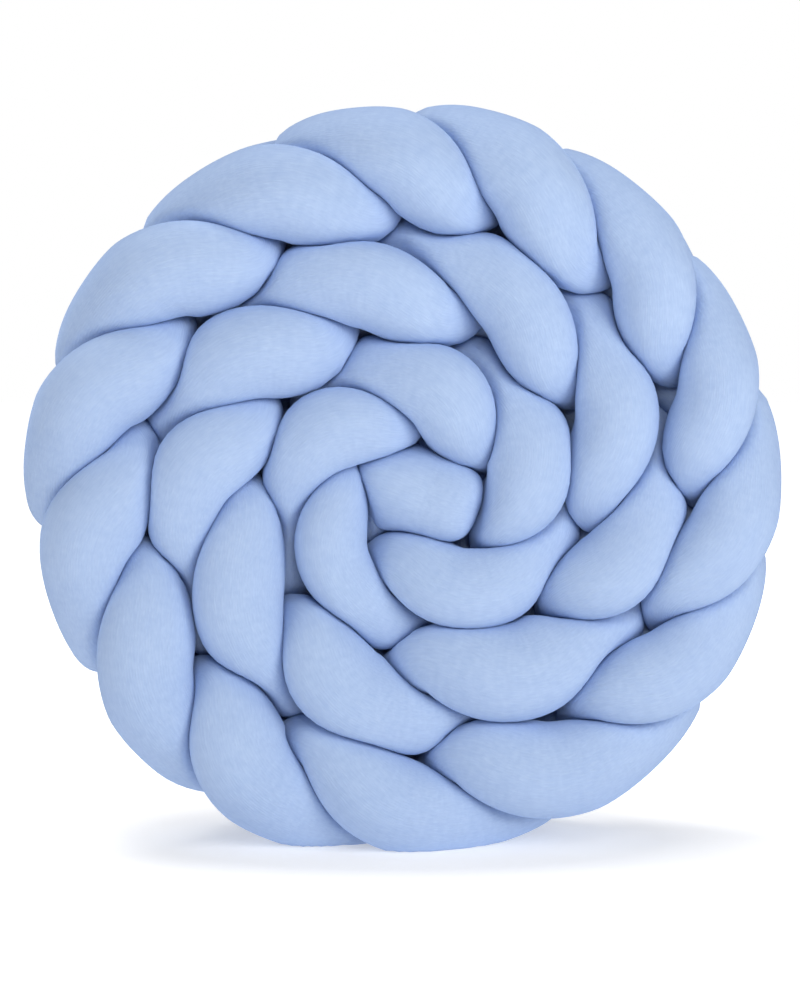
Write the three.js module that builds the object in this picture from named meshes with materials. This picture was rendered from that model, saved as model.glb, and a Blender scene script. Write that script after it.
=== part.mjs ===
// Braided crib bumper: three long stuffed jersey tubes, plaited in three, coiled up and stood on the rim.
// Each tube crosses the front face as one slanting lobe, dives under the next lobe, crosses the back and
// comes to the front again three lobes further on.
// Units are millimetres. +Z is up, -Y is the front of the coil, and the floor is z = 0.

import * as THREE from "three";
import { mergeVertices } from "three/addons/utils/BufferGeometryUtils.js";

// Driving dimensions
const TUBE_RADIUS = 34.5; // of a stuffed tube where nothing presses on it
const HALF_DEPTH = 43; // from the plait's middle plane to a tube's centreline on the front and back faces
const MIDDLE_PLANE = 1.95; // the plait's middle plane lies this far behind the middle of the whole coil
const MOST_SWELL = 1.2; // the most that a pressed tube swells on its free sides, against its radius
const OWN_STRETCH = 2; // a strand presses on itself only this many lobes away, or further
const COVER_CLEARANCE = 2.2; // each cover stays this far from the surface where two tubes press together
const PRESS_BLEND = 4; // how softly a flattened side turns into a round one
const LEAN = 18; // how far a full tube runs outside and then inside its ring as it crosses a face
const LEAN_AHEAD = 0.09; // it leans this share of a lobe before it reaches its crown
const EARLY_RISE = 0.15; // and this much earlier still where it rises outward inside the plait
const LEAN_SWING = 0.015; // share of a lobe by which a tube hurries along the coil as it crosses a face
const SLOW_RISE = 32; // degrees by which a tube comes up to a face more slowly than it dives from it
const BACK_PULL = 0.94; // the back lobes lie a little flatter than the front ones
const DEPTH_SQUARENESS = 0.1; // the tubes keep to the faces longer than a sine would, and dive more steeply
const LEAN_SQUARENESS = -0.03; // and their lean is a little more pointed than a sine
const HIDDEN_SPREAD = 0.13; // the tubes lean further apart where they cross inside the plait
const FRONT_HOLD = 0.45; // share of the half depth over which a tube changes from the back spiral to its ring

const STRANDS = 3;
const HUB_STRAND = 1; // strand b ends at the hub
const HUB_LOBES = 1.5; // how far that end runs on past the plait
const HUB_FILL = 0.3; // over this share of that run it fills out from the plaited girth to the plain tube
const TURN_LEAD = 0.3; // how far back the turn to the hub takes its direction from
const STEPS_PER_LOBE = 8;
const FINE_STEPS_PER_LOBE = 18; // for the centrelines that the tubes are pressed against
const SIDES = 12;
const BETWEEN_SLACK = 2; // a vertex may stand this far above the limit half a step away
const EASE_PASSES = 2;
const SPIKE = 2; // a reach may stand this far above the mean of those round it
const SWELL_HALVINGS = 12;
const CAP_ROWS = 3;
const CAP_SHARES = [0.3, 0.6, 0.9]; // where the rounded ends press on others, in girths past the last station
const MERGE_WITHIN = 1e-4;
const JERSEY_BLUE = 0xafc6ec;
const JERSEY_ROUGHNESS = 0.92;

// The outer rings are wound round one hub and the innermost ring round another, to its right and lower
const OUTER_HUB = { x: 6.2, z: 266.8 };
const INNER_HUB = { x: 17.3, z: 260.9 };
const HUB_SHIFT = { from: 21, to: 24 };

// One row for each lobe of the front face, from the outer end of the plait to the hub: the bearing of its
// crown clockwise from the top in degrees, the radius of its centreline there, and its girth against the
// plain tube.
const LOBE_COLUMNS = ["bearing", "radius", "girth"];
const LOBES = [
  // outer ring
  [265, 225, 0.97],
  [290, 231, 0.97],
  [315, 230, 0.97],
  [340, 226, 0.97],
  [2, 232, 0.91],
  [24, 230, 0.97],
  [50, 231, 0.86],
  [75, 229, 0.83],
  [101, 226, 0.87],
  [127, 225, 0.89],
  [156, 222, 0.99],
  [187, 219, 0.97],
  [214, 226, 0.99],
  [238, 226, 1.01],
  // middle ring
  [278, 151, 0.98],
  [312, 151, 0.95],
  [351, 153, 0.93],
  [33, 156, 0.89],
  [74, 155, 0.88],
  [111, 162, 0.86],
  [152, 148, 1.05],
  [201, 150, 0.97],
  [241, 147, 0.95],
  // inner ring
  [310, 77, 0.84],
  [13, 75, 0.88],
  [80, 74, 0.9],
  [159, 69, 0.89],
  [245, 75, 0.8],
];

// On the back the plait is one spiral: its radius, by its place in lobes along the coil
const BACK_COLUMNS = ["place", "radius"];
const BACK_SPIRAL = [
  [0, 225],
  [6, 226],
  [11.2, 222],
  [14.8, 151],
  [20.2, 152],
  [23.8, 79],
  [25, 77],
  [26.6, 55],
  [28, 52],
];

// Where each strand starts and stops, in lobes: whole numbers fall on the crowns of the front lobes
const STRAND_ENDS = {
  a: { start: -0.75, finish: 27.5 },
  b: { start: 0.25, finish: 26.5 },
  c: { start: 0.35, finish: 27.2 },
};

// The last of strand b, which comes from behind the hub and shows its rounded end in the middle of the front:
// right, forward and up from the inner hub
const HUB_COLUMNS = ["right", "forward", "up"];
const HUB_END = [
  [-32, -22, -23],
  [-40, 0, 0],
  [-31, 20, 12],
  [-12, 33, 6],
  [7, 36, -1],
];

const tableRow = (columns, row) => Object.fromEntries(columns.map((name, i) => [name, row[i]]));
const smoothStep = (x) => THREE.MathUtils.smoothstep(x, 0, 1);

// The smaller of two lengths, rounded off where they are nearly equal
function softMin(a, b, width) {
  const near = Math.max(width - Math.abs(a - b), 0) / width;
  return Math.min(a, b) - (near * near * width) / 4;
}

function makeLobes() {
  let turned = 0;
  let last = -Infinity;
  return LOBES.map((row) => {
    const lobe = tableRow(LOBE_COLUMNS, row);
    if (lobe.bearing + turned < last) turned += 360;
    lobe.bearing += turned;
    last = lobe.bearing;
    return lobe;
  });
}

const lobes = makeLobes();
const lobeAt = (n) => lobes[THREE.MathUtils.clamp(n, 0, lobes.length - 1)];

// The bearing runs on evenly before the first lobe and after the last
function bearingOf(n) {
  const last = lobes.length - 1;
  if (n < 0) return lobes[0].bearing + n * (lobes[1].bearing - lobes[0].bearing);
  if (n > last) return lobes[last].bearing + (n - last) * (lobes[last].bearing - lobes[last - 1].bearing);
  return lobes[n].bearing;
}

// A smooth curve through the lobes' bearings
function bearingAt(place) {
  const n = Math.floor(place);
  const f = place - n;
  const [a, b, c, d] = [n - 1, n, n + 1, n + 2].map(bearingOf);
  const rise = (c - a) / 2;
  const fall = (d - b) / 2;
  return b + f * (rise + f * (3 * (c - b) - 2 * rise - fall + f * (rise + fall - 2 * (c - b))));
}

function backRadius(place) {
  const rows = BACK_SPIRAL.map((row) => tableRow(BACK_COLUMNS, row));
  const next = rows.findIndex((row) => row.place > place);
  if (next === 0) return rows[0].radius;
  if (next < 0) return rows.at(-1).radius;
  const [from, to] = [rows[next - 1], rows[next]];
  const share = smoothStep((place - from.place) / (to.place - from.place));
  return THREE.MathUtils.lerp(from.radius, to.radius, share);
}

function hubAt(place) {
  const moved = smoothStep((place - HUB_SHIFT.from) / (HUB_SHIFT.to - HUB_SHIFT.from));
  return {
    x: THREE.MathUtils.lerp(OUTER_HUB.x, INNER_HUB.x, moved),
    z: THREE.MathUtils.lerp(OUTER_HUB.z, INNER_HUB.z, moved),
  };
}

// A point of a strand's centreline. The strand goes once round the plait in three lobes: forward and back
// with the sine of its phase, and outward and inward twice as fast. Its phase hangs back while it rises to
// the front and catches up as it dives. The coil steps in from ring to ring behind the front lobes.
function laidPoint(strand, place) {
  const crown = Math.floor((place - strand) / STRANDS) * STRANDS + strand;
  const even = Math.PI / 2 + ((place - crown) * 2 * Math.PI) / STRANDS;
  const phase = even + (THREE.MathUtils.degToRad(SLOW_RISE) * (1 - Math.sin(even))) / 2;
  const forward = Math.sin(phase);
  const turned = smoothStep((place - crown) / STRANDS);
  const nearest = lobeAt(turned < 0.5 ? crown : crown + STRANDS);
  const mix = (name) => THREE.MathUtils.lerp(lobeAt(crown)[name], lobeAt(crown + STRANDS)[name], turned);
  const onFront = smoothStep((forward + FRONT_HOLD) / (2 * FRONT_HOLD));
  const middle = THREE.MathUtils.lerp(backRadius(place), nearest.radius, onFront);
  const ahead = LEAN_AHEAD + EARLY_RISE * Math.cos(2 * phase);
  const lean = Math.sin(2 * phase + (ahead * 4 * Math.PI) / STRANDS);
  const squareLean = lean * (1 + LEAN_SQUARENESS * (1 - lean * lean));
  const spread = 1 + HIDDEN_SPREAD * (1 - Math.abs(forward));
  const radius = middle + LEAN * mix("girth") * squareLean * spread;
  const bearing = THREE.MathUtils.degToRad(bearingAt(place - LEAN_SWING * lean));
  const squared = forward * (1 + DEPTH_SQUARENESS * Math.cos(phase) ** 2);
  const depth = HALF_DEPTH * squared * (forward > 0 ? 1 : BACK_PULL);
  const hub = hubAt(place);
  const [right, up] = [radius * Math.sin(bearing), radius * Math.cos(bearing)];
  return {
    place,
    girth: TUBE_RADIUS * mix("girth"),
    point: new THREE.Vector3(hub.x + right, MIDDLE_PLANE - depth, hub.z + up),
  };
}

// Where a point of the hub end lies
function hubPoint(row) {
  const at = tableRow(HUB_COLUMNS, row);
  return new THREE.Vector3(INNER_HUB.x + at.right, MIDDLE_PLANE - at.forward, INNER_HUB.z + at.up);
}

// The stations of strand b from where it leaves the plait to its end at the hub, filling out to the full tube
function hubStations(beforeLast, last, stepsPerLobe) {
  const turn = new THREE.CatmullRomCurve3([beforeLast.point, last.point, ...HUB_END.map(hubPoint)]);
  const spans = HUB_END.length + 1;
  const steps = Math.round(HUB_LOBES * stepsPerLobe);
  return Array.from({ length: steps }, (_, i) => {
    const share = (i + 1) / steps;
    return {
      place: last.place + share * HUB_LOBES,
      girth: THREE.MathUtils.lerp(last.girth, TUBE_RADIUS, smoothStep(share / HUB_FILL)),
      point: turn.getPoint((1 + share * (spans - 1)) / spans),
    };
  });
}

// The stations of a strand, stepsPerLobe for each lobe of its run
function centreline(strand, stepsPerLobe) {
  const { start, finish } = Object.values(STRAND_ENDS)[strand];
  const steps = Math.round((finish - start) * stepsPerLobe);
  const stations = [];
  for (let i = 0; i <= steps; i += 1) {
    stations.push(laidPoint(strand, start + ((finish - start) * i) / steps));
  }
  if (strand !== HUB_STRAND) return stations;
  const turn = hubStations(laidPoint(strand, finish - TURN_LEAD), stations.at(-1), stepsPerLobe);
  return [...stations, ...turn];
}

// Gives each station its direction and two axes across it, carried along without twisting
function addAxes(stations) {
  stations.forEach((station, i) => {
    const before = stations[Math.max(i - 1, 0)].point;
    const after = stations[Math.min(i + 1, stations.length - 1)].point;
    station.along = after.clone().sub(before).normalize();
    const carried = i ? stations[i - 1].across : new THREE.Vector3(0, -1, 0);
    station.across = carried.clone().addScaledVector(station.along, -carried.dot(station.along)).normalize();
    station.over = station.along.clone().cross(station.across);
  });
  return stations;
}

// How far a tube may reach from a centre along a ray before the neighbouring tube is nearer
function reachTo(centre, ray, girth, neighbour, skip) {
  let reach = Infinity;
  const offset = new THREE.Vector3();
  for (const other of neighbour) {
    if (skip(other)) continue;
    offset.subVectors(centre, other.point);
    const fuller = other.girth - girth;
    const closing = fuller - offset.dot(ray);
    if (closing <= 0) continue;
    reach = Math.min(reach, (offset.lengthSq() - fuller * fuller) / (2 * closing));
  }
  return reach;
}

// A fine centreline that runs on straight into both rounded ends
function finePath(strand) {
  const stations = centreline(strand, FINE_STEPS_PER_LOBE);
  const runOn = (end, inner) => {
    const outward = end.point.clone().sub(inner.point).normalize();
    return CAP_SHARES.map((share) => ({
      ...end,
      point: end.point.clone().addScaledVector(outward, share * end.girth),
    }));
  };
  const head = runOn(stations[0], stations[1]).reverse();
  return [...head, ...stations, ...runOn(stations.at(-1), stations.at(-2))];
}

const finePaths = Object.keys(STRAND_ENDS).map((_, strand) => finePath(strand));

// How far a ray may run from the centreline before another tube, or a far stretch of the same one, presses
function pressLimit(strand, station, centre, ray) {
  let limit = MOST_SWELL * station.girth;
  finePaths.forEach((path, other) => {
    const skip = other === strand ? (at) => Math.abs(at.place - station.place) < OWN_STRETCH : () => false;
    const here = reachTo(centre, ray, station.girth, path, skip) - COVER_CLEARANCE;
    limit = softMin(limit, here, PRESS_BLEND);
  });
  return limit;
}

// The radius that the free sides of a section swell to, so that it holds as much filling as the round tube
function swollenRadius(limits, girth) {
  const wanted = SIDES * girth * girth;
  let [low, high] = [girth, MOST_SWELL * girth];
  for (let halving = 0; halving < SWELL_HALVINGS; halving += 1) {
    const radius = (low + high) / 2;
    const held = limits.reduce((sum, limit) => sum + Math.min(limit, radius) ** 2, 0);
    if (held < wanted) low = radius;
    else high = radius;
  }
  return low;
}

// Each value with the mean of itself and those beside it
function evenOut(values) {
  return values.map((value, i) => ((values[i - 1] ?? value) + value + (values[i + 1] ?? value)) / 3);
}

// Takes the spikes off a table of reaches, rows of SIDES each, and adds nothing to any of them
function easeSpikes(reaches) {
  return reaches.map((row, r) =>
    row.map((reach, side) => {
      const before = (reaches[r - 1] ?? row)[side];
      const after = (reaches[r + 1] ?? row)[side];
      const left = row[(side + SIDES - 1) % SIDES];
      const right = row[(side + 1) % SIDES];
      return Math.min(reach, (before + after + left + right) / 4 + SPIKE);
    }),
  );
}

// One row of a capsule's surface: a centre on the strand, a ray for each side, and how far each ray may run
function pressedRow(strand, station, past, roundness) {
  const centre = station.point.clone().addScaledVector(station.along, past * station.girth);
  const rays = Array.from({ length: SIDES }, (_, side) => {
    const angle = (side * 2 * Math.PI) / SIDES;
    const ray = station.across.clone().multiplyScalar(-Math.cos(angle));
    return ray.addScaledVector(station.over, -Math.sin(angle));
  });
  const limits = rays.map((ray) => pressLimit(strand, station, centre, ray));
  return { station, centre, rays, limits, roundness };
}

// Lowers the limits beside a place where the straight run between two rows would cut into a neighbour
function heedBetween(strand, rows) {
  const tighter = rows.map((row) => [...row.limits]);
  for (let r = 1; r < rows.length; r += 1) {
    const [before, after] = [rows[r - 1], rows[r]];
    const centre = before.centre.clone().lerp(after.centre, 0.5);
    for (let side = 0; side < SIDES; side += 1) {
      const ray = before.rays[side].clone().add(after.rays[side]).normalize();
      const limit = pressLimit(strand, before.station, centre, ray) + BETWEEN_SLACK;
      tighter[r - 1][side] = Math.min(tighter[r - 1][side], limit);
      tighter[r][side] = Math.min(tighter[r][side], limit);
    }
  }
  rows.forEach((row, r) => {
    row.limits = tighter[r];
  });
}

// How far the cover lies from the centreline along each ray of each row
function coverReaches(rows) {
  let swollen = rows.map((row) => swollenRadius(row.limits, row.station.girth));
  for (let pass = 0; pass < EASE_PASSES; pass += 1) swollen = evenOut(swollen);
  let reaches = rows.map((row, r) =>
    row.limits.map((limit) => softMin(limit, swollen[r], PRESS_BLEND) * row.roundness),
  );
  for (let pass = 0; pass < EASE_PASSES; pass += 1) reaches = easeSpikes(reaches);
  return reaches;
}

// A capsule drawn out along the centreline and pressed against its neighbours and the floor
function stuffedTube(strand) {
  const stations = addAxes(centreline(strand, STEPS_PER_LOBE));
  const runs = stations.length - 1;
  const geometry = new THREE.CapsuleGeometry(1, runs, CAP_ROWS, SIDES, runs);
  const spots = geometry.getAttribute("position");
  const rowLength = SIDES + 1;
  const rows = [];
  for (let first = 0; first < spots.count; first += rowLength) {
    const station = stations[THREE.MathUtils.clamp(rows.length - CAP_ROWS, 0, runs)];
    const past = Math.sign(spots.getY(first)) * Math.max(Math.abs(spots.getY(first)) - runs / 2, 0);
    rows.push(pressedRow(strand, station, past, Math.hypot(spots.getX(first), spots.getZ(first))));
  }
  heedBetween(strand, rows);
  const reaches = coverReaches(rows);
  for (let i = 0; i < spots.count; i += 1) {
    const r = Math.floor(i / rowLength);
    const side = (i % rowLength) % SIDES;
    const ray = rows[r].rays[side];
    const spot = rows[r].centre.clone().addScaledVector(ray, reaches[r][side]);
    if (spot.z < 0) spot.addScaledVector(ray, -spot.z / ray.z).setZ(0);
    spots.setXYZ(i, spot.x, spot.y, spot.z);
  }
  return closed(geometry);
}

// The same surface with its seam and its two poles merged
function closed(geometry) {
  geometry.deleteAttribute("normal");
  geometry.deleteAttribute("uv");
  const merged = mergeVertices(geometry, MERGE_WITHIN);
  const kept = [];
  const index = merged.index.array;
  for (let i = 0; i < index.length; i += 3) {
    const [a, b, c] = [index[i], index[i + 1], index[i + 2]];
    if (a !== b && b !== c && c !== a) kept.push(a, b, c);
  }
  merged.setIndex(kept);
  merged.computeVertexNormals();
  return merged;
}

const jersey = () => new THREE.MeshStandardMaterial({ color: JERSEY_BLUE, roughness: JERSEY_ROUGHNESS });

const bumper = new THREE.Group();
bumper.name = "braided_crib_bumper";
Object.keys(STRAND_ENDS).forEach((letter, strand) => {
  const tube = new THREE.Mesh(stuffedTube(strand), jersey());
  tube.name = `strand_${letter}`;
  bumper.add(tube);
});

export default bumper;
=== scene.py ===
"""Braided crib bumper: three stuffed jersey tubes, plaited, coiled up and stood on the rim.

The tubes are laid along nearly the same route as their solids and pressed against each other and
the floor: they flatten where they meet, round off into the creases and swell on their free sides.
Lengths are in metres, +Z is up, -Y is the front of the coil and the floor is z = 0. A place along
the coil is counted in lobes of the front face, from the outer end of the plait.
"""

import logging
import math
from dataclasses import dataclass, field
from enum import Enum
from typing import NamedTuple

import bmesh
import bpy
import numpy as np
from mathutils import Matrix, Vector

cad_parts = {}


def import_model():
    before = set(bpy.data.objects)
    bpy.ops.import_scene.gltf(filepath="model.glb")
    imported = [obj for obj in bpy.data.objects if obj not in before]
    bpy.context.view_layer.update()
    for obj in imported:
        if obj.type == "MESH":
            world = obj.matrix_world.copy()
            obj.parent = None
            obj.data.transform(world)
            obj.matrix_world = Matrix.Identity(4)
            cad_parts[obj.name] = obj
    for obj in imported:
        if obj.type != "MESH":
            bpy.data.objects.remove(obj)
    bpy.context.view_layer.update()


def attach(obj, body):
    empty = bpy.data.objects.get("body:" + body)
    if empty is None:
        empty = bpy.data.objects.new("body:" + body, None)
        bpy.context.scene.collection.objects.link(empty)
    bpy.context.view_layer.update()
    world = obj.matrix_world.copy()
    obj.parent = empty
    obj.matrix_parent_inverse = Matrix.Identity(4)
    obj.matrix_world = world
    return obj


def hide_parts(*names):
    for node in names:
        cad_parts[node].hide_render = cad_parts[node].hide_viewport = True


log = logging.getLogger("bumper")

SHEET = "UVMap"
STRANDS = 3
TUBE_RADIUS = 0.0345


class Lobe(NamedTuple):
    """One lobe of the front face.

    Attributes:
        bearing: The bearing of its crown, clockwise from the top, in degrees.
        radius: The radius of the strand's centreline at the crown.
        girth: Its girth there, against the plain tube.
    """

    bearing: float
    radius: float
    girth: float


LOBES = (
    # outer ring
    Lobe(265, 0.225, 0.97),
    Lobe(290, 0.231, 0.97),
    Lobe(315, 0.230, 0.97),
    Lobe(340, 0.226, 0.97),
    Lobe(362, 0.232, 0.91),
    Lobe(384, 0.230, 0.97),
    Lobe(410, 0.231, 0.86),
    Lobe(435, 0.229, 0.83),
    Lobe(461, 0.226, 0.87),
    Lobe(487, 0.225, 0.89),
    Lobe(516, 0.222, 0.99),
    Lobe(547, 0.219, 0.97),
    Lobe(574, 0.226, 0.99),
    Lobe(598, 0.226, 1.01),
    # middle ring
    Lobe(638, 0.151, 0.98),
    Lobe(672, 0.151, 0.95),
    Lobe(711, 0.153, 0.93),
    Lobe(753, 0.156, 0.89),
    Lobe(794, 0.155, 0.88),
    Lobe(831, 0.162, 0.86),
    Lobe(872, 0.148, 1.05),
    Lobe(921, 0.150, 0.97),
    Lobe(961, 0.147, 0.95),
    # inner ring
    Lobe(1030, 0.077, 0.84),
    Lobe(1093, 0.075, 0.88),
    Lobe(1160, 0.074, 0.90),
    Lobe(1239, 0.069, 0.89),
    Lobe(1325, 0.075, 0.80),
)


class BackPoint(NamedTuple):
    """One point of the spiral that the plait follows on the back.

    Attributes:
        place: Its place along the coil, in lobes.
        radius: The radius of the spiral there.
    """

    place: float
    radius: float


BACK_SPIRAL = (
    BackPoint(0.0, 0.225),
    BackPoint(6.0, 0.226),
    BackPoint(11.2, 0.222),
    BackPoint(14.8, 0.151),
    BackPoint(20.2, 0.152),
    BackPoint(23.8, 0.079),
    BackPoint(25.0, 0.077),
    BackPoint(26.6, 0.055),
    BackPoint(28.0, 0.052),
)


class HubPoint(NamedTuple):
    """One point of the strand that ends in the middle, measured from the inner hub.

    Attributes:
        right: How far right it lies.
        forward: How far forward.
        up: How far up.
    """

    right: float
    forward: float
    up: float


HUB_END = (
    HubPoint(-0.032, -0.022, -0.023),
    HubPoint(-0.040, 0.000, 0.000),
    HubPoint(-0.031, 0.020, 0.012),
    HubPoint(-0.012, 0.033, 0.009),
    HubPoint(0.0095, 0.036, 0.0015),
)


class Course(NamedTuple):
    """What a strand stands for and how far it runs.

    Attributes:
        node: The CAD node that the strand replaces.
        start: Its first place in the plait, in lobes.
        finish: Its last place in the plait, in lobes.
    """

    node: str
    start: float
    finish: float


class Strand(Enum):
    """The three strands of the plait."""

    A = Course("strand_a", -0.75, 27.5)
    B = Course("strand_b", 0.25, 26.5)
    C = Course("strand_c", 0.35, 27.2)

    @property
    def first_crown(self) -> int:
        """The lobe of its first crown: its crowns fall on every third lobe from this one."""
        return list(Strand).index(self)

    @property
    def ends_at_hub(self) -> bool:
        """True for the strand whose rounded end shows in the middle of the coil."""
        return self is Strand.B


def column(table: tuple[NamedTuple, ...], name: str) -> np.ndarray:
    """One named column of a table."""
    return np.array([getattr(row, name) for row in table], dtype=float)


def smooth_step(x: np.ndarray | float) -> np.ndarray | float:
    """An S-shaped rise from 0 to 1 as x goes from 0 to 1."""
    x = np.clip(x, 0.0, 1.0)
    return x * x * (3.0 - 2.0 * x)


def soft_min(a: np.ndarray, b: np.ndarray, width: float) -> np.ndarray:
    """The smaller of two lengths, rounded off where they are nearly equal.

    Args:
        a: The first lengths.
        b: The second lengths.
        width: How near the two have to be for the rounding to start.

    Returns:
        The smaller lengths.
    """
    near = np.maximum(width - np.abs(a - b), 0.0) / width
    return np.minimum(a, b) - near * near * width / 4.0


def centripetal(knots: list[Vector], at: float) -> Vector:
    """A point of the smooth curve through some knots, whose pace follows the root of the chords.

    Args:
        knots: The points that the curve passes through.
        at: How far along it is, in knots.

    Returns:
        The point.
    """
    n = min(int(at), len(knots) - 2)
    f = float(at) - n
    p1, p2 = knots[n], knots[n + 1]
    p0 = knots[n - 1] if n > 0 else p1 * 2 - p2
    p3 = knots[n + 2] if n + 2 < len(knots) else p2 * 2 - p1
    d0, d1, d2 = ((q - p).length ** 0.5 for p, q in ((p0, p1), (p1, p2), (p2, p3)))
    t1 = ((p1 - p0) / d0 - (p2 - p0) / (d0 + d1) + (p2 - p1) / d1) * d1
    t2 = ((p2 - p1) / d1 - (p3 - p1) / (d1 + d2) + (p3 - p2) / d2) * d1
    return p1 + f * (t1 + f * (3 * (p2 - p1) - 2 * t1 - t2 + f * (t1 + t2 - 2 * (p2 - p1))))


@dataclass
class Run:
    """The stations along a strand's centreline, one row each.

    Attributes:
        place: The place of each station, in lobes.
        girth: The plain radius of the tube there.
        point: Where the station lies.
    """

    place: np.ndarray
    girth: np.ndarray
    point: np.ndarray

    def __add__(self, other: "Run") -> "Run":
        """This run with another one after it.

        Args:
            other: The run that follows.

        Returns:
            Both as one run.
        """
        return Run(
            np.concatenate([self.place, other.place]),
            np.concatenate([self.girth, other.girth]),
            np.concatenate([self.point, other.point]),
        )


@dataclass
class Plait:
    """The route of each strand through the coil.

    Attributes:
        tube_radius: The radius of a plain tube.
        half_depth: How far the front crowns lie forward of the middle plane.
        middle_plane: Where the middle plane lies in depth.
        lean: How far a strand swings outward and inward, twice in each turn.
        lean_ahead: How far ahead of the turn the swing runs, in lobes.
        early_rise: How much further ahead it runs between the crowns, in lobes.
        lean_swing: How far back the swing draws the bearing, in lobes.
        slow_rise: How far ahead in its turn a strand is at the back, in degrees.
        back_pull: The depth of the back crowns against the front ones.
        depth_squareness: How flat the wave of the depth is at its crowns; below 0 it is peaked.
        lean_squareness: The same for the swing outward and inward.
        hidden_spread: How much wider the swing is half way between front and back.
        front_hold: How near the middle plane the radius of the front lobes holds.
        hub_lobes: The length of the turn that ends at the hub, in lobes.
        hub_fill: The share of that turn in which the girth changes.
        hub_girth: The girth of that turn, against the plain tube.
        turn_lead: How far back the point lies that gives that turn its direction, in lobes.
        hub_shift: The places between which the rings' middle moves.
        outer_hub: The middle of the outer rings, right and up.
        inner_hub: The middle of the inner ring, right and up.
    """

    tube_radius: float = TUBE_RADIUS
    half_depth: float = 0.043
    middle_plane: float = 0.00195
    lean: float = 0.018
    lean_ahead: float = 0.09
    early_rise: float = 0.15
    lean_swing: float = 0.015
    slow_rise: float = 32.0
    back_pull: float = 0.94
    depth_squareness: float = -0.15
    lean_squareness: float = -0.03
    hidden_spread: float = 0.13
    front_hold: float = 0.45
    hub_lobes: float = 1.5
    hub_fill: float = 0.3
    hub_girth: float = 0.95
    turn_lead: float = 0.3
    hub_shift: tuple[float, float] = (21.0, 24.0)
    outer_hub: tuple[float, float] = (0.0062, 0.2668)
    inner_hub: tuple[float, float] = (0.0173, 0.2609)
    bearings: np.ndarray = field(default_factory=lambda: column(LOBES, "bearing"))
    radii: np.ndarray = field(default_factory=lambda: column(LOBES, "radius"))
    girths: np.ndarray = field(default_factory=lambda: column(LOBES, "girth"))
    back_places: np.ndarray = field(default_factory=lambda: column(BACK_SPIRAL, "place"))
    back_radii: np.ndarray = field(default_factory=lambda: column(BACK_SPIRAL, "radius"))

    def bearing_of(self, n: np.ndarray) -> np.ndarray:
        """The bearing of whole lobes, which runs on evenly past the first and the last.

        Args:
            n: Whole lobe numbers.

        Returns:
            Their bearings in degrees.
        """
        table = self.bearings
        last = len(table) - 1
        inside = table[np.clip(n, 0, last).astype(int)]
        before = np.minimum(n, 0) * (table[1] - table[0])
        after = np.maximum(n - last, 0) * (table[-1] - table[-2])
        return inside + before + after

    def bearing_at(self, place: np.ndarray) -> np.ndarray:
        """A smooth curve through the lobes' bearings.

        Args:
            place: Places in lobes along the coil.

        Returns:
            The bearings there in radians.
        """
        n = np.floor(place)
        f = place - n
        a, b, c, d = (self.bearing_of(n + step) for step in (-1, 0, 1, 2))
        rise, fall = (c - a) / 2.0, (d - b) / 2.0
        curve = b + f * (rise + f * (3 * (c - b) - 2 * rise - fall + f * (rise + fall - 2 * (c - b))))
        return np.radians(curve)

    def back_radius(self, place: np.ndarray) -> np.ndarray:
        """The radius of the back's spiral.

        Args:
            place: Places in lobes along the coil.

        Returns:
            The radius at each.
        """
        places, radii = self.back_places, self.back_radii
        at = np.clip(np.searchsorted(places, place, side="right"), 1, len(places) - 1)
        share = smooth_step((place - places[at - 1]) / (places[at] - places[at - 1]))
        return radii[at - 1] + (radii[at] - radii[at - 1]) * share

    def at_crown(self, values: np.ndarray, crown: np.ndarray) -> np.ndarray:
        """A column of the lobe table at whole crowns, held at both ends."""
        return values[np.clip(crown, 0, len(values) - 1).astype(int)]

    def phase_of(self, past: np.ndarray) -> np.ndarray:
        """How far a strand is through its turn, which dives fast and rises slowly.

        Args:
            past: How far past its last crown it is, in lobes.

        Returns:
            The phase in radians, a quarter turn at the crown.
        """
        phase = math.pi / 2 + past * 2 * math.pi / STRANDS
        return phase + math.radians(self.slow_rise) * (1 - np.sin(phase)) / 2

    def swing_of(self, phase: np.ndarray) -> np.ndarray:
        """How far outward a strand has swung, from -1 to 1.

        Args:
            phase: How far it is through its turn.

        Returns:
            The swing.
        """
        ahead = self.lean_ahead + self.early_rise * np.cos(2 * phase)
        return np.sin(2 * phase + ahead * 4 * math.pi / STRANDS)

    def depth_of(self, phase: np.ndarray) -> np.ndarray:
        """How far forward of the middle plane a strand is.

        Args:
            phase: How far it is through its turn.

        Returns:
            The depth, below 0 on the back.
        """
        forward = np.sin(phase)
        squared = forward * (1 + self.depth_squareness * np.cos(phase) ** 2)
        return self.half_depth * squared * np.where(forward > 0, 1.0, self.back_pull)

    def hub_at(self, place: np.ndarray) -> tuple[np.ndarray, np.ndarray]:
        """The middle of the rings, which moves a little for the inner one.

        Args:
            place: Places in lobes along the coil.

        Returns:
            How far right and how far up it lies.
        """
        start, stop = self.hub_shift
        moved = smooth_step((place - start) / (stop - start))
        right = self.outer_hub[0] * (1 - moved) + self.inner_hub[0] * moved
        up = self.outer_hub[1] * (1 - moved) + self.inner_hub[1] * moved
        return right, up

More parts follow.
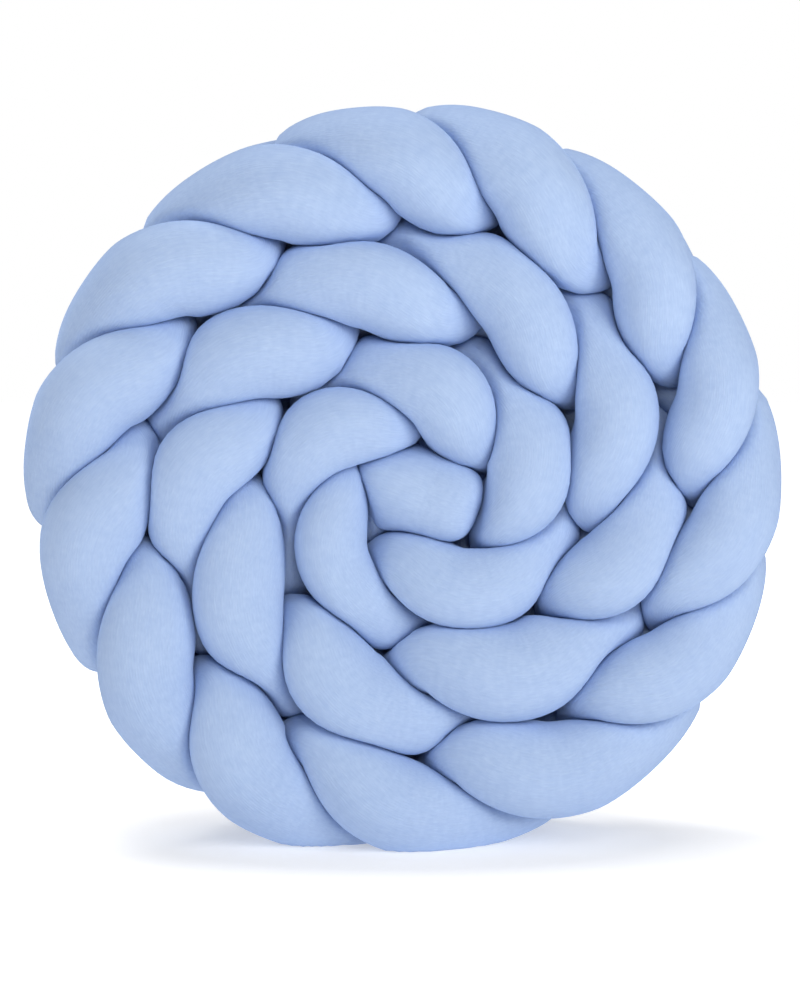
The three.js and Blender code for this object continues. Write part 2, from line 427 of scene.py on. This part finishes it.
    def laid(self, strand: Strand, place: np.ndarray) -> Run:
        """Points of a strand inside the plait.

        Args:
            strand: The strand.
            place: Its places in lobes along the coil.

        Returns:
            The stations there.
        """
        crown = np.floor((place - strand.first_crown) / STRANDS) * STRANDS + strand.first_crown
        coming = crown + STRANDS
        phase = self.phase_of(place - crown)
        forward = np.sin(phase)
        turned = smooth_step((place - crown) / STRANDS)
        girth = self.at_crown(self.girths, crown) * (1 - turned)
        girth = girth + self.at_crown(self.girths, coming) * turned
        nearest = self.at_crown(self.radii, np.where(turned < 0.5, crown, coming))
        on_front = smooth_step((forward + self.front_hold) / (2 * self.front_hold))
        middle = self.back_radius(place) * (1 - on_front) + nearest * on_front
        swing = self.swing_of(phase)
        square_swing = swing * (1 + self.lean_squareness * (1 - swing * swing))
        spread = 1 + self.hidden_spread * (1 - np.abs(forward))
        radius = middle + self.lean * girth * square_swing * spread
        bearing = self.bearing_at(place - self.lean_swing * swing)
        hub_right, hub_up = self.hub_at(place)
        right = hub_right + radius * np.sin(bearing)
        back = self.middle_plane - self.depth_of(phase)
        up = hub_up + radius * np.cos(bearing)
        return Run(place, self.tube_radius * girth, np.stack([right, back, up], axis=1))

    def hub_turn(self, before_last: np.ndarray, last: Run, steps_per_lobe: int) -> Run:
        """The stations from where the strand leaves the plait to its end at the hub.

        Args:
            before_last: A point just before it leaves, which gives the turn its direction.
            last: The last station inside the plait.
            steps_per_lobe: Stations for each lobe of the run.

        Returns:
            The stations of the turn.
        """
        right, up = self.inner_hub
        ends = [Vector((right + at.right, self.middle_plane - at.forward, up + at.up)) for at in HUB_END]
        knots = [Vector(before_last), Vector(last.point[0]), *ends]
        steps = round(self.hub_lobes * steps_per_lobe)
        share = np.arange(1, steps + 1) / steps
        along = 1 + share * (len(knots) - 2)
        point = np.array([centripetal(knots, at) for at in along])
        filled = smooth_step(share / self.hub_fill)
        girth = last.girth[0] * (1 - filled) + self.tube_radius * self.hub_girth * filled
        return Run(last.place[0] + share * self.hub_lobes, girth, point)

    def centreline(self, strand: Strand, steps_per_lobe: int) -> Run:
        """The stations of a whole strand.

        Args:
            strand: The strand.
            steps_per_lobe: Stations for each lobe of its run.

        Returns:
            The stations from its outer end to its inner one.
        """
        start, finish = strand.value.start, strand.value.finish
        steps = round((finish - start) * steps_per_lobe)
        run = self.laid(strand, start + (finish - start) * np.arange(steps + 1) / steps)
        if not strand.ends_at_hub:
            return run
        before_last = self.laid(strand, np.array([finish - self.turn_lead])).point[0]
        last = Run(run.place[-1:], run.girth[-1:], run.point[-1:])
        return run + self.hub_turn(before_last, last, steps_per_lobe)


@dataclass
class Sections:
    """The rows of a tube's cover.

    Attributes:
        place: The place of each row, in lobes.
        girth: The plain radius of the tube there.
        roundness: The width of the row against the tube's, which falls to 0 at both ends.
        travel: How far along the tube the row is.
        centre: The middle of the row.
        rays: The directions from the middle to the row's points.
        bend: The way to the inside of the bend, as long as one over the bend's radius.
    """

    place: np.ndarray
    girth: np.ndarray
    roundness: np.ndarray
    travel: np.ndarray
    centre: np.ndarray
    rays: np.ndarray
    bend: np.ndarray


@dataclass
class Stuffing:
    """How the filling presses the covers against each other, and how the taut cloth lies.

    Attributes:
        most_swell: How far a free side may swell, against the plain radius.
        own_stretch: Within how many lobes a tube isn't pressed by itself.
        blend: How near two limits are when they round off into each other.
        bend_share: How much of the bend's radius the inside of a bend may take.
        swell_halvings: Halvings of the search for the free radius.
        swell_passes: Passes that even out the free radius along the tube.
        ease_passes: Passes that draw the cloth taut.
        tightest_corner: The radius of the tightest corner of the cloth where it can be seen.
        core_corner: The same in the core of the coil, where it can't.
        core_reach: How far from the middle of the depth the core reaches.
        core_fade: Over what depth the one goes over into the other.
        pump: How much of the missing radius a pass adds to the push of the filling.
        path_steps: Stations for each lobe of the paths that the covers press against.
        cap_shares: Where the stations in a rounded end lie, against the tube's radius.
        cap_power: How square the rounded ends are; 2 is a ball.
        rows_at_once: How many rows are worked out together.
    """

    most_swell: float = 1.19
    own_stretch: float = 2.0
    blend: float = 0.004
    bend_share: float = 0.9
    swell_halvings: int = 14
    swell_passes: int = 9
    ease_passes: int = 160
    tightest_corner: float = 0.0075
    core_corner: float = 0.003
    core_reach: float = 0.032
    core_fade: float = 0.012
    pump: float = 0.004
    path_steps: int = 18
    cap_shares: tuple[float, ...] = (0.3, 0.6, 0.9)
    cap_power: float = 3.0
    rows_at_once: int = 48

    def press_path(self, plait: Plait, strand: Strand) -> Run:
        """A strand's centreline run on straight into both of its rounded ends.

        Args:
            plait: The route of the strands.
            strand: The strand.

        Returns:
            The stations that the other covers are pressed against.
        """
        run = plait.centreline(strand, self.path_steps)
        head = self.run_on(run, 0, 1)
        tail = self.run_on(run, -1, -2)
        head = Run(head.place[::-1], head.girth[::-1], head.point[::-1])
        return head + run + tail

    def run_on(self, run: Run, end: int, inner: int) -> Run:
        """The stations past one end of a run.

        Args:
            run: The run.
            end: The number of its last station at that end.
            inner: The number of the station before it.

        Returns:
            The stations, from the end outward.
        """
        outward = run.point[end] - run.point[inner]
        outward = outward / np.linalg.norm(outward)
        shares = np.array(self.cap_shares)
        point = run.point[end] + shares[:, None] * run.girth[end] * outward
        rounded = (1 - shares**self.cap_power) ** (1 / self.cap_power)
        return Run(np.full(len(shares), run.place[end]), rounded * run.girth[end], point)

    def limits(self, strand: Strand, rows: Sections, paths: dict[Strand, Run]) -> np.ndarray:
        """How far each ray may run before another tube, or the tube's own next turn, presses.

        Args:
            strand: The strand that the rows belong to.
            rows: The rows.
            paths: The centrelines of all the strands.

        Returns:
            The limits, a row for each row of the cover.
        """
        limit = np.repeat(self.most_swell * rows.girth[:, None], rows.rays.shape[1], axis=1)
        inward = np.einsum("rc,rsc->rs", rows.bend, rows.rays)
        with np.errstate(divide="ignore"):
            tight = np.where(inward > 0, self.bend_share / inward, np.inf)
        limit = soft_min(limit, tight, self.blend)
        for other, path in paths.items():
            for first in range(0, len(rows.place), self.rows_at_once):
                some = slice(first, first + self.rows_at_once)
                reach = self.reach_to(rows, some, path, other is strand)
                limit[some] = soft_min(limit[some], reach, self.blend)
        return limit

    def reach_to(self, rows: Sections, some: slice, path: Run, own: bool) -> np.ndarray:
        """How far some rays may run before a neighbouring tube is nearer.

        Args:
            rows: The rows of the cover.
            some: Which of them.
            path: The neighbour's centreline.
            own: True if the neighbour is a further turn of the same strand.

        Returns:
            The reach of each ray.
        """
        offset = rows.centre[some, None, :] - path.point[None, :, :]
        apart = np.einsum("rmc,rmc->rm", offset, offset)
        fuller = path.girth[None, :] - rows.girth[some, None]
        closing = fuller[:, :, None] - np.einsum("rmc,rsc->rms", offset, rows.rays[some])
        with np.errstate(divide="ignore", invalid="ignore"):
            reach = (apart - fuller * fuller)[:, :, None] / (2.0 * closing)
        reach[closing <= 0] = np.inf
        if own:
            near = np.abs(path.place[None, :] - rows.place[some, None]) < self.own_stretch
            reach[near] = np.inf
        return reach.min(axis=1)

    def swollen(self, limit: np.ndarray, girth: np.ndarray) -> np.ndarray:
        """The radius that free sides swell to, so that a section keeps all its filling.

        Args:
            limit: The limits of each row.
            girth: The plain radius of each row.

        Returns:
            The free radius of each row.
        """
        wanted = limit.shape[1] * girth * girth
        low, high = girth.copy(), self.most_swell * girth
        for _ in range(self.swell_halvings):
            radius = (low + high) / 2
            held = (np.minimum(limit, radius[:, None]) ** 2).sum(axis=1)
            low = np.where(held < wanted, radius, low)
            high = np.where(held < wanted, high, radius)
        for _ in range(self.swell_passes):
            padded = np.concatenate([low[:1], low, low[-1:]])
            low = (padded[:-2] + padded[1:-1] + padded[2:]) / 3
        return low

    def most_push(self, rows: Sections, sides: int) -> np.ndarray:
        """How hard the filling may push each row, so that no corner of the cloth gets too tight.

        Args:
            rows: The rows.
            sides: The points of a row.

        Returns:
            The most push of each row, as the outward step that it adds in a pass.
        """
        turn = 2 * math.pi / sides
        inside = smooth_step((self.core_reach - np.abs(rows.centre[:, 1])) / self.core_fade)
        corner = self.tightest_corner * (1 - inside) + self.core_corner * inside
        return (1 / corner - 1 / rows.girth) * (rows.girth * turn) ** 2 / 8

    def reaches(self, strand: Strand, rows: Sections, paths: dict[Strand, Run]) -> np.ndarray:
        """How far the cover lies from the centreline along every ray.

        Each pass draws the cloth taut, pushes it outward while the row's filling is missing and
        stops it at its limits.

        Args:
            strand: The strand that the rows belong to.
            rows: The rows.
            paths: The centrelines of all the strands.

        Returns:
            The reaches, with taut cloth between the places that are pressed.
        """
        limit = self.limits(strand, rows, paths)
        reach = np.minimum(limit, self.swollen(limit, rows.girth)[:, None])
        most = self.most_push(rows, limit.shape[1])
        push = np.zeros(len(rows.girth))
        for _ in range(self.ease_passes):
            missing = rows.girth - np.sqrt((reach**2).mean(axis=1))
            push = np.clip(self.eased_along(push + self.pump * missing), 0.0, most)
            reach = np.minimum(self.eased(reach) + push[:, None], limit)
        return reach * rows.roundness[:, None]

    @staticmethod
    def eased_along(values: np.ndarray) -> np.ndarray:
        """Values of the rows, each drawn half way to its two neighbours."""
        padded = np.concatenate([values[:1], values, values[-1:]])
        return (padded[:-2] + 2 * values + padded[2:]) / 4

    @staticmethod
    def eased(reach: np.ndarray) -> np.ndarray:
        """Reaches drawn half way to their four neighbours, as taut cloth draws them.

        Args:
            reach: The reaches, a row for each row of the cover.

        Returns:
            The drawn reaches.
        """
        above = np.concatenate([reach[:1], reach[:-1]])
        below = np.concatenate([reach[1:], reach[-1:]])
        left, right = np.roll(reach, 1, axis=1), np.roll(reach, -1, axis=1)
        return reach / 2 + (above + below + left + right) / 8


@dataclass
class NodeBench:
    """Lays out the nodes of one material.

    Attributes:
        material: The material.
    """

    material: bpy.types.Material

    @classmethod
    def named(cls, name: str) -> "NodeBench":
        """A bench with a new material on it.

        Args:
            name: The material's name.

        Returns:
            The bench.
        """
        made = bpy.data.materials.new(name)
        made.use_nodes = True
        return cls(made)

    @property
    def shader(self) -> bpy.types.Node:
        """The material's own shader node."""
        return self.material.node_tree.nodes["Principled BSDF"]

    def add(
        self, kind: str, settings: dict[str, object] | None = None, **wires: object
    ) -> bpy.types.Node:
        """A new node.

        Args:
            kind: The node's type.
            settings: Values of the node's own properties.
            **wires: What goes into its inputs, by name, with _ for a blank: a number, a colour or
                the output of another node.

        Returns:
            The node.
        """
        node = self.material.node_tree.nodes.new(kind)
        for name, value in (settings or {}).items():
            setattr(node, name, value)
        for name, value in wires.items():
            self.wire(value, node.inputs[name.replace("_", " ")])
        return node

    def wire(self, value: object, socket: bpy.types.NodeSocket) -> None:
        """Gives an input a value, or links it to another node's output.

        Args:
            value: The value, or the output.
            socket: The input.
        """
        if isinstance(value, bpy.types.NodeSocket):
            self.material.node_tree.links.new(value, socket)
        else:
            socket.default_value = value

    def reckon(self, operation: str, first: object, second: object = 0.0) -> bpy.types.NodeSocket:
        """The result of a Math node.

        Args:
            operation: The node's operation.
            first: Its first input.
            second: Its second input.

        Returns:
            Its output.
        """
        node = self.material.node_tree.nodes.new("ShaderNodeMath")
        node.operation = operation
        self.wire(first, node.inputs[0])
        self.wire(second, node.inputs[1])
        return node.outputs[0]

    def stretched(self, place: object, by: tuple[float, float, float]) -> bpy.types.NodeSocket:
        """A place with each of its axes multiplied.

        Args:
            place: The place.
            by: What X, Y and Z are multiplied by.

        Returns:
            The new place.
        """
        node = self.add("ShaderNodeVectorMath", {"operation": "MULTIPLY"})
        self.wire(place, node.inputs[0])
        self.wire(by, node.inputs[1])
        return node.outputs["Vector"]

    def noise(self, place: object, scale: float, detail: float) -> bpy.types.NodeSocket:
        """Noise at a place."""
        node = self.add("ShaderNodeTexNoise", None, Vector=place, Scale=scale, Detail=detail)
        return node.outputs["Fac"]

    def spread(self, value: object, low: float, high: float) -> bpy.types.NodeSocket:
        """A value stretched so that low becomes 0 and high becomes 1."""
        node = self.add("ShaderNodeMapRange", None, Value=value, From_Min=low, From_Max=high)
        return node.outputs["Result"]

    def blend(self, share: object, first: object, second: object) -> bpy.types.NodeSocket:
        """Two colours mixed.

        Args:
            share: The share of the second one.
            first: The first colour.
            second: The second colour.

        Returns:
            The mixed colour.
        """
        mix = self.add("ShaderNodeMix", {"data_type": "RGBA"}, Factor=share)
        self.wire(first, mix.inputs["A"])
        self.wire(second, mix.inputs["B"])
        return mix.outputs["Result"]


@dataclass(frozen=True)
class Streak:
    """One kind of streak in the cloth.

    Attributes:
        length: How long it is along the tube.
        width: How wide it is round the tube.
        detail: The detail of its noise.
        share: Its share in the colour.
    """

    length: float
    width: float
    detail: float
    share: float


@dataclass(frozen=True)
class Jersey:
    """Fine cotton jersey: pale sky blue, matt, with faint broken wales along the tube.

    Attributes:
        name: The material's name.
        deep: The deeper blue of the yarn.
        pale: The paler blue of the yarn.
        roughness: How matt it is.
        sheen: How much the cloth's fuzz shines at a slant.
        sheen_tint: The colour of that shine.
        sheen_roughness: How broad that shine is.
        specular: How strong the plain reflection is.
        tube_radius: The radius of the straight tube that the pattern is laid on.
        wales_round: The number of wales round the tube.
        wale_height: How high the knit stands out.
        wale_relief: The share of the wales in the relief, against the flecks.
        bump_strength: How strongly the relief shows.
        fleck: The small flecks along the tube.
        slub: The thicker places of the yarn, drawn out round the tube.
        streak_range: The part of the noise that the streaks use.
        mottle_scale: How fine the broad changes of tone are.
        mottle_detail: The detail of their noise.
        mottle_share: Their share in the colour.
    """

    name: str = "sky_blue_jersey"
    deep: tuple[float, float, float] = (0.353, 0.475, 0.735)
    pale: tuple[float, float, float] = (0.477, 0.606, 0.833)
    roughness: float = 0.85
    sheen: float = 0.6
    sheen_tint: tuple[float, float, float] = (0.42, 0.60, 1.0)
    sheen_roughness: float = 0.5
    specular: float = 0.2
    tube_radius: float = TUBE_RADIUS
    wales_round: int = 126
    wale_height: float = 0.00012
    wale_relief: float = 0.6
    bump_strength: float = 0.9
    fleck: Streak = Streak(0.0042, 0.0012, 1.0, 0.40)
    slub: Streak = Streak(0.0035, 0.011, 2.0, 0.25)
    streak_range: tuple[float, float] = (0.3, 0.75)
    mottle_scale: float = 28.0
    mottle_detail: float = 1.0
    mottle_share: float = 0.35

    def round_tube(self, bench: NodeBench) -> tuple[bpy.types.NodeSocket, bpy.types.NodeSocket]:
        """Where a point lies on a straight tube of the plain size, and its share of the turn.

        Args:
            bench: The bench.

        Returns:
            The place, with the travel along the tube as its X, and the angle round it.
        """
        sheet = bench.add("ShaderNodeUVMap", {"uv_map": SHEET})
        split = bench.add("ShaderNodeSeparateXYZ", None, Vector=sheet.outputs["UV"])
        turn = bench.reckon("MULTIPLY", split.outputs["Y"], 2 * math.pi)
        place = bench.add(
            "ShaderNodeCombineXYZ",
            None,
            X=split.outputs["X"],
            Y=bench.reckon("MULTIPLY", bench.reckon("COSINE", turn), self.tube_radius),
            Z=bench.reckon("MULTIPLY", bench.reckon("SINE", turn), self.tube_radius),
        )
        return place.outputs["Vector"], turn

    def streaks(
        self, bench: NodeBench, place: bpy.types.NodeSocket, streak: Streak
    ) -> bpy.types.NodeSocket:
        """Where the streaks of one kind are, from 0 to 1.

        Args:
            bench: The bench.
            place: Where a point lies on the straight tube.
            streak: The kind of streak.

        Returns:
            The streaks.
        """
        finer = (1 / streak.length, 1 / streak.width, 1 / streak.width)
        noise = bench.noise(bench.stretched(place, finer), 1.0, streak.detail)
        return bench.spread(noise, *self.streak_range)

    def material(self) -> bpy.types.Material:
        """The finish as a node material that reads the tube's own UV map.

        Returns:
            The material.
        """
        bench = NodeBench.named(self.name)
        place, turn = self.round_tube(bench)
        fleck = self.streaks(bench, place, self.fleck)
        slub = self.streaks(bench, place, self.slub)
        mottle = bench.noise(place, self.mottle_scale, self.mottle_detail)
        wale = bench.reckon("SINE", bench.reckon("MULTIPLY", turn, float(self.wales_round)))
        wale = bench.reckon("MULTIPLY", wale, fleck)

        tone = bench.reckon("MULTIPLY", fleck, self.fleck.share)
        tone = bench.reckon("ADD", tone, bench.reckon("MULTIPLY", slub, self.slub.share))
        tone = bench.reckon("ADD", tone, bench.reckon("MULTIPLY", mottle, self.mottle_share))
        colour = bench.blend(tone, (*self.deep, 1.0), (*self.pale, 1.0))

        relief = bench.reckon("ADD", bench.reckon("MULTIPLY", wale, self.wale_relief), fleck)
        bump = bench.add("ShaderNodeBump", None, Height=relief, Distance=self.wale_height)
        bump.inputs["Strength"].default_value = self.bump_strength

        shader = bench.shader
        shader.inputs["Roughness"].default_value = self.roughness
        shader.inputs["Sheen Weight"].default_value = self.sheen
        shader.inputs["Sheen Tint"].default_value = (*self.sheen_tint, 1.0)
        shader.inputs["Sheen Roughness"].default_value = self.sheen_roughness
        shader.inputs["Specular IOR Level"].default_value = self.specular
        bench.wire(colour, shader.inputs["Base Color"])
        bench.wire(bump.outputs["Normal"], shader.inputs["Normal"])
        return bench.material


def placed(name: str, data: bpy.types.ID) -> bpy.types.Object:
    """A new object in the scene, at the origin.

    Args:
        name: Its name.
        data: Its mesh, light or camera.

    Returns:
        The object.
    """
    made = bpy.data.objects.new(name, data)
    bpy.context.scene.collection.objects.link(made)
    return made


@dataclass
class StuffedTube:
    """One strand: a long stuffed jersey tube, closed round at both ends.

    Attributes:
        strand: The strand.
        plait: The route of the strands.
        stuffing: How the covers are pressed.
        finish: The material of the cover.
        steps_per_lobe: Rows of the cover for each lobe.
        sides: Points of a row.
        cap_rows: Rows of each rounded end.
        merge_within: How near points are merged at the seam and the poles.
        fill: How full the cushion is; not used.
    """

    strand: Strand
    plait: Plait
    stuffing: Stuffing
    finish: bpy.types.Material
    steps_per_lobe: int = 26
    sides: int = 72
    cap_rows: int = 12
    merge_within: float = 1e-6
    fill: float = 0.85

    def sections(self) -> Sections:
        """The rows of the cover, those of the rounded ends among them.

        Returns:
            The rows.
        """
        run = self.plait.centreline(self.strand, self.steps_per_lobe)
        along = self.directions(run.point)
        across = self.carried_axes(along)
        over = np.cross(along, across)
        step = np.linalg.norm(np.diff(run.point, axis=0), axis=1)
        travel = np.concatenate([[0.0], np.cumsum(step)])
        pick, past, roundness = self.rounded_ends(len(run.point))
        girth = run.girth[pick]
        angle = np.arange(self.sides) * 2 * math.pi / self.sides
        rays = np.cos(angle)[None, :, None] * across[pick, None, :]
        rays = rays + np.sin(angle)[None, :, None] * over[pick, None, :]
        return Sections(
            place=run.place[pick],
            girth=girth,
            roundness=roundness,
            travel=travel[pick] + past * girth,
            centre=run.point[pick] + (past * girth)[:, None] * along[pick],
            rays=rays,
            bend=self.bends(along, step)[pick],
        )

    def rounded_ends(self, stations: int) -> tuple[np.ndarray, np.ndarray, np.ndarray]:
        """How the rows follow the stations and close up past the first and the last.

        Args:
            stations: The number of stations.

        Returns:
            The station of each row, how far past it the row lies and how wide the row is, the
            last two against the tube's radius.
        """
        tilt = np.linspace(0, math.pi / 2, self.cap_rows + 1)[1:]
        squared = 2 / self.stuffing.cap_power
        out = np.sin(tilt) ** squared
        width = np.maximum(np.cos(tilt), 0.0) ** squared
        head = np.zeros(self.cap_rows, int)
        tail = np.full(self.cap_rows, stations - 1)
        pick = np.concatenate([head, np.arange(stations), tail])
        past = np.concatenate([-out[::-1], np.zeros(stations), out])
        roundness = np.concatenate([width[::-1], np.ones(stations), width])
        return pick, past, roundness

    @staticmethod
    def directions(point: np.ndarray) -> np.ndarray:
        """The direction of the strand at each station.

        Args:
            point: The stations.

        Returns:
            The directions, each as long as 1.
        """
        first, last = point[1:2] - point[:1], point[-1:] - point[-2:-1]
        chord = np.concatenate([first, point[2:] - point[:-2], last])
        return chord / np.linalg.norm(chord, axis=1)[:, None]

    @staticmethod
    def bends(along: np.ndarray, step: np.ndarray) -> np.ndarray:
        """How the strand bends at each station.

        Args:
            along: The direction of the strand at each station.
            step: The lengths between the stations.

        Returns:
            The ways to the inside of the bend, each as long as one over the bend's radius.
        """
        bend = np.zeros_like(along)
        bend[1:-1] = (along[2:] - along[:-2]) / (step[1:] + step[:-1])[:, None]
        return bend

    @staticmethod
    def carried_axes(along: np.ndarray) -> np.ndarray:
        """An axis across the strand at each station, carried along without twisting.

        Args:
            along: The direction of the strand at each station.

        Returns:
            The axes.
        """
        across = np.zeros_like(along)
        carried = np.array([0.0, -1.0, 0.0])
        for i, direction in enumerate(along):
            carried = carried - direction * carried.dot(direction)
            carried /= np.linalg.norm(carried)
            across[i] = carried
        return across

    def spots(self, paths: dict[Strand, Run]) -> tuple[np.ndarray, np.ndarray]:
        """Where the cover's points lie, and how far along the tube each row is.

        Args:
            paths: The centrelines of all the strands.

        Returns:
            The points, a row for each row of the cover, and the travel of each row.
        """
        rows = self.sections()
        reach = self.stuffing.reaches(self.strand, rows, paths)
        spots = rows.centre[:, None, :] + rows.rays * reach[:, :, None]
        # A point under the floor is drawn back along its ray until it lies on the floor
        under = spots[:, :, 2] < 0
        climb = np.where(under, -spots[:, :, 2] / np.where(under, rows.rays[:, :, 2], 1.0), 0.0)
        return spots + rows.rays * climb[:, :, None], rows.travel

    def cover(self, paths: dict[Strand, Run]) -> bpy.types.Mesh:
        """The cover's mesh: a grid bent round the strand, its seam and poles merged.

        Args:
            paths: The centrelines of all the strands.

        Returns:
            The mesh, with its UV map and material.
        """
        spots, travel = self.spots(paths)
        rows = len(spots) - 1
        half = 0.5
        work = bmesh.new()
        sheet = work.loops.layers.uv.new(SHEET)
        bmesh.ops.create_grid(work, x_segments=rows, y_segments=self.sides, size=half)
        where = {}
        for vert in work.verts:
            row = round((vert.co.x + half) * rows)
            side = round((vert.co.y + half) * self.sides)
            where[vert.index] = (row, side)
            vert.co = spots[row, side % self.sides]
        for face in work.faces:
            face.smooth = True
            for loop in face.loops:
                row, side = where[loop.vert.index]
                loop[sheet].uv = (travel[row], side / self.sides)
        bmesh.ops.remove_doubles(work, verts=work.verts, dist=self.merge_within)
        bmesh.ops.recalc_face_normals(work, faces=work.faces)
        mesh = bpy.data.meshes.new(f"tube_{self.strand.name.lower()}")
        work.to_mesh(mesh)
        work.free()
        mesh.materials.append(self.finish)
        return mesh

    def build(self, paths: dict[Strand, Run]) -> bpy.types.Object:
        """The finished tube.

        Args:
            paths: The centrelines of all the strands.

        Returns:
            The piece.
        """
        mesh = self.cover(paths)
        piece = placed(mesh.name, mesh)
        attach(piece, "root")
        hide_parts(self.strand.value.node)
        return piece


class LampSize(NamedTuple):
    """A soft lamp.

    Attributes:
        at: Where it hangs.
        width: Its width.
        power: Its power in watts.
    """

    at: tuple[float, float, float]
    width: float
    power: float


class Lamp(Enum):
    """The soft lamps: in front on the right, high in front, in front on the left, and overhead."""

    KEY = LampSize((1.9, -1.6, 1.0), 1.3, 28.8)
    FRONT = LampSize((0.2, -2.2, 1.4), 1.3, 15.5)
    SIDE = LampSize((-2.2, -1.1, 1.2), 1.3, 11.3)
    OVERHEAD = LampSize((-0.7, 0.6, 2.4), 1.3, 26.0)


@dataclass
class Studio:
    """A plain white floor in a white room, soft light and the camera.

    Attributes:
        floor_size: The length of the floor's sides.
        floor_colour: The colour of the floor.
        floor_roughness: How matt the floor is.
        painted_floor_glow: Painted light: how bright the floor glows everywhere, which also lights the
            coil from below, and how bright it looks far off.
        painted_shadow_reach: How far from the coil's foot the glow starts to rise to look at, and stops;
            nearer, the floor looks dimmer, so this paints where the coil's shadow shows.
        painted_shadow_stretch: How much sooner it rises to the front and back than to the sides, which
            paints that shadow as an ellipse, wider to the sides.
        room_light: How bright the room is as a light.
        white: Full white.
        aim: What the camera and the lamps are turned to.
        distance: How far off the camera stands.
        elevation: How high it stands, in degrees.
        metre_per_pixel: The size of a pixel at the aim.
        frame_height: The height of the picture in pixels.
        sensor: The width of the camera's sensor in millimetres.
    """

    floor_size: float = 24.0
    floor_colour: tuple[float, float, float] = (0.82, 0.80, 0.78)
    floor_roughness: float = 0.9
    painted_floor_glow: tuple[float, float] = (0.35, 1.05)
    painted_shadow_reach: tuple[float, float] = (0.20, 0.45)
    painted_shadow_stretch: float = 1.8
    room_light: float = 0.16
    white: tuple[float, float, float, float] = (1.0, 1.0, 1.0, 1.0)
    aim: tuple[float, float, float] = (-0.0007, -0.04, 0.2605)
    distance: float = 1.7
    elevation: float = 4.0
    metre_per_pixel: float = 0.00074
    frame_height: int = 1000
    sensor: float = 36.0

    def floor_finish(self) -> bpy.types.Material:
        """The floor's material, whose glow is painted light: it lights the coil from below, and to look
        at it is brighter far off, so that the floor shows white there and the coil's shadow only near
        its foot.

        Returns:
            The material.
        """
        bench = NodeBench.named("floor_white")
        bench.shader.inputs["Base Color"].default_value = (*self.floor_colour, 1.0)
        bench.shader.inputs["Roughness"].default_value = self.floor_roughness
        bench.shader.inputs["Specular IOR Level"].default_value = 0.0
        bench.shader.inputs["Emission Color"].default_value = self.white
        # Painted light: the floor glows, and to the camera it glows brighter away from the coil's foot,
        # so that the coil's shadow shows only near it.
        place = bench.add("ShaderNodeTexCoord").outputs["Object"]
        drawn = bench.stretched(place, (1.0, self.painted_shadow_stretch, 1.0))
        length = bench.add("ShaderNodeVectorMath", {"operation": "LENGTH"}, Vector=drawn)
        far_off = bench.spread(length.outputs["Value"], *self.painted_shadow_reach)
        seen = bench.add("ShaderNodeLightPath").outputs["Is Camera Ray"]
        far_share = bench.reckon("MULTIPLY", far_off, seen)
        near, far = self.painted_floor_glow
        glow = bench.reckon("ADD", near, bench.reckon("MULTIPLY", far_share, far - near))
        bench.wire(glow, bench.shader.inputs["Emission Strength"])
        return bench.material

    def floor(self) -> bpy.types.Object:
        """The floor that the coil stands on.

        Returns:
            The floor.
        """
        work = bmesh.new()
        bmesh.ops.create_grid(work, x_segments=1, y_segments=1, size=self.floor_size / 2)
        mesh = bpy.data.meshes.new("floor")
        work.to_mesh(mesh)
        work.free()
        mesh.materials.append(self.floor_finish())
        floor = placed("floor", mesh)
        return floor

    def room(self) -> None:
        """A white room: full white to look at, and softer as a light."""
        world = bpy.data.worlds.new("studio")
        world.use_nodes = True
        nodes, links = world.node_tree.nodes, world.node_tree.links
        seen = nodes["Background"]
        seen.inputs["Color"].default_value = self.white
        seen.inputs["Strength"].default_value = 1.0
        shining = nodes.new("ShaderNodeBackground")
        shining.inputs["Color"].default_value = self.white
        shining.inputs["Strength"].default_value = self.room_light
        path = nodes.new("ShaderNodeLightPath")
        mix = nodes.new("ShaderNodeMixShader")
        links.new(path.outputs["Is Camera Ray"], mix.inputs["Fac"])
        links.new(shining.outputs["Background"], mix.inputs[1])
        links.new(seen.outputs["Background"], mix.inputs[2])
        links.new(mix.outputs["Shader"], nodes["World Output"].inputs["Surface"])
        bpy.context.scene.world = world

    def lamps(self) -> None:
        """The soft lamps, each turned to the middle of the coil."""
        for lamp in Lamp:
            size = lamp.value
            light = bpy.data.lights.new(lamp.name.lower(), "AREA")
            light.shape = "DISK"
            light.size = size.width
            light.energy = size.power
            way = Vector(self.aim) - Vector(size.at)
            holder = placed(light.name, light)
            holder.location = size.at
            holder.rotation_euler = way.to_track_quat("-Z", "Y").to_euler()

    def camera(self) -> None:
        """The camera, nearly level with the coil and square to its face."""
        lens = bpy.data.cameras.new("camera")
        lens.sensor_width = self.sensor
        lens.lens = self.sensor * self.distance / (self.metre_per_pixel * self.frame_height)
        tilt = math.radians(self.elevation)
        back = Vector((0.0, -math.cos(tilt), math.sin(tilt)))
        holder = placed("camera", lens)
        holder.location = Vector(self.aim) + back * self.distance
        holder.rotation_euler = (-back).to_track_quat("-Z", "Y").to_euler()
        bpy.context.scene.camera = holder
        bpy.context.scene.view_settings.view_transform = "Standard"


def main() -> None:
    """Builds the tubes one by one, then the studio."""
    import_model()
    plait, stuffing = Plait(), Stuffing()
    paths = {strand: stuffing.press_path(plait, strand) for strand in Strand}
    finish = Jersey().material()
    for strand in Strand:
        piece = StuffedTube(strand, plait, stuffing, finish).build(paths)
        log.info("%s: %d points", piece.name, len(piece.data.vertices))
    studio = Studio()
    studio.floor()
    studio.room()
    studio.lamps()
    studio.camera()
    bpy.context.view_layer.update()


if __name__ == "__main__":
    logging.basicConfig(level=logging.INFO, format="%(message)s")
    main()
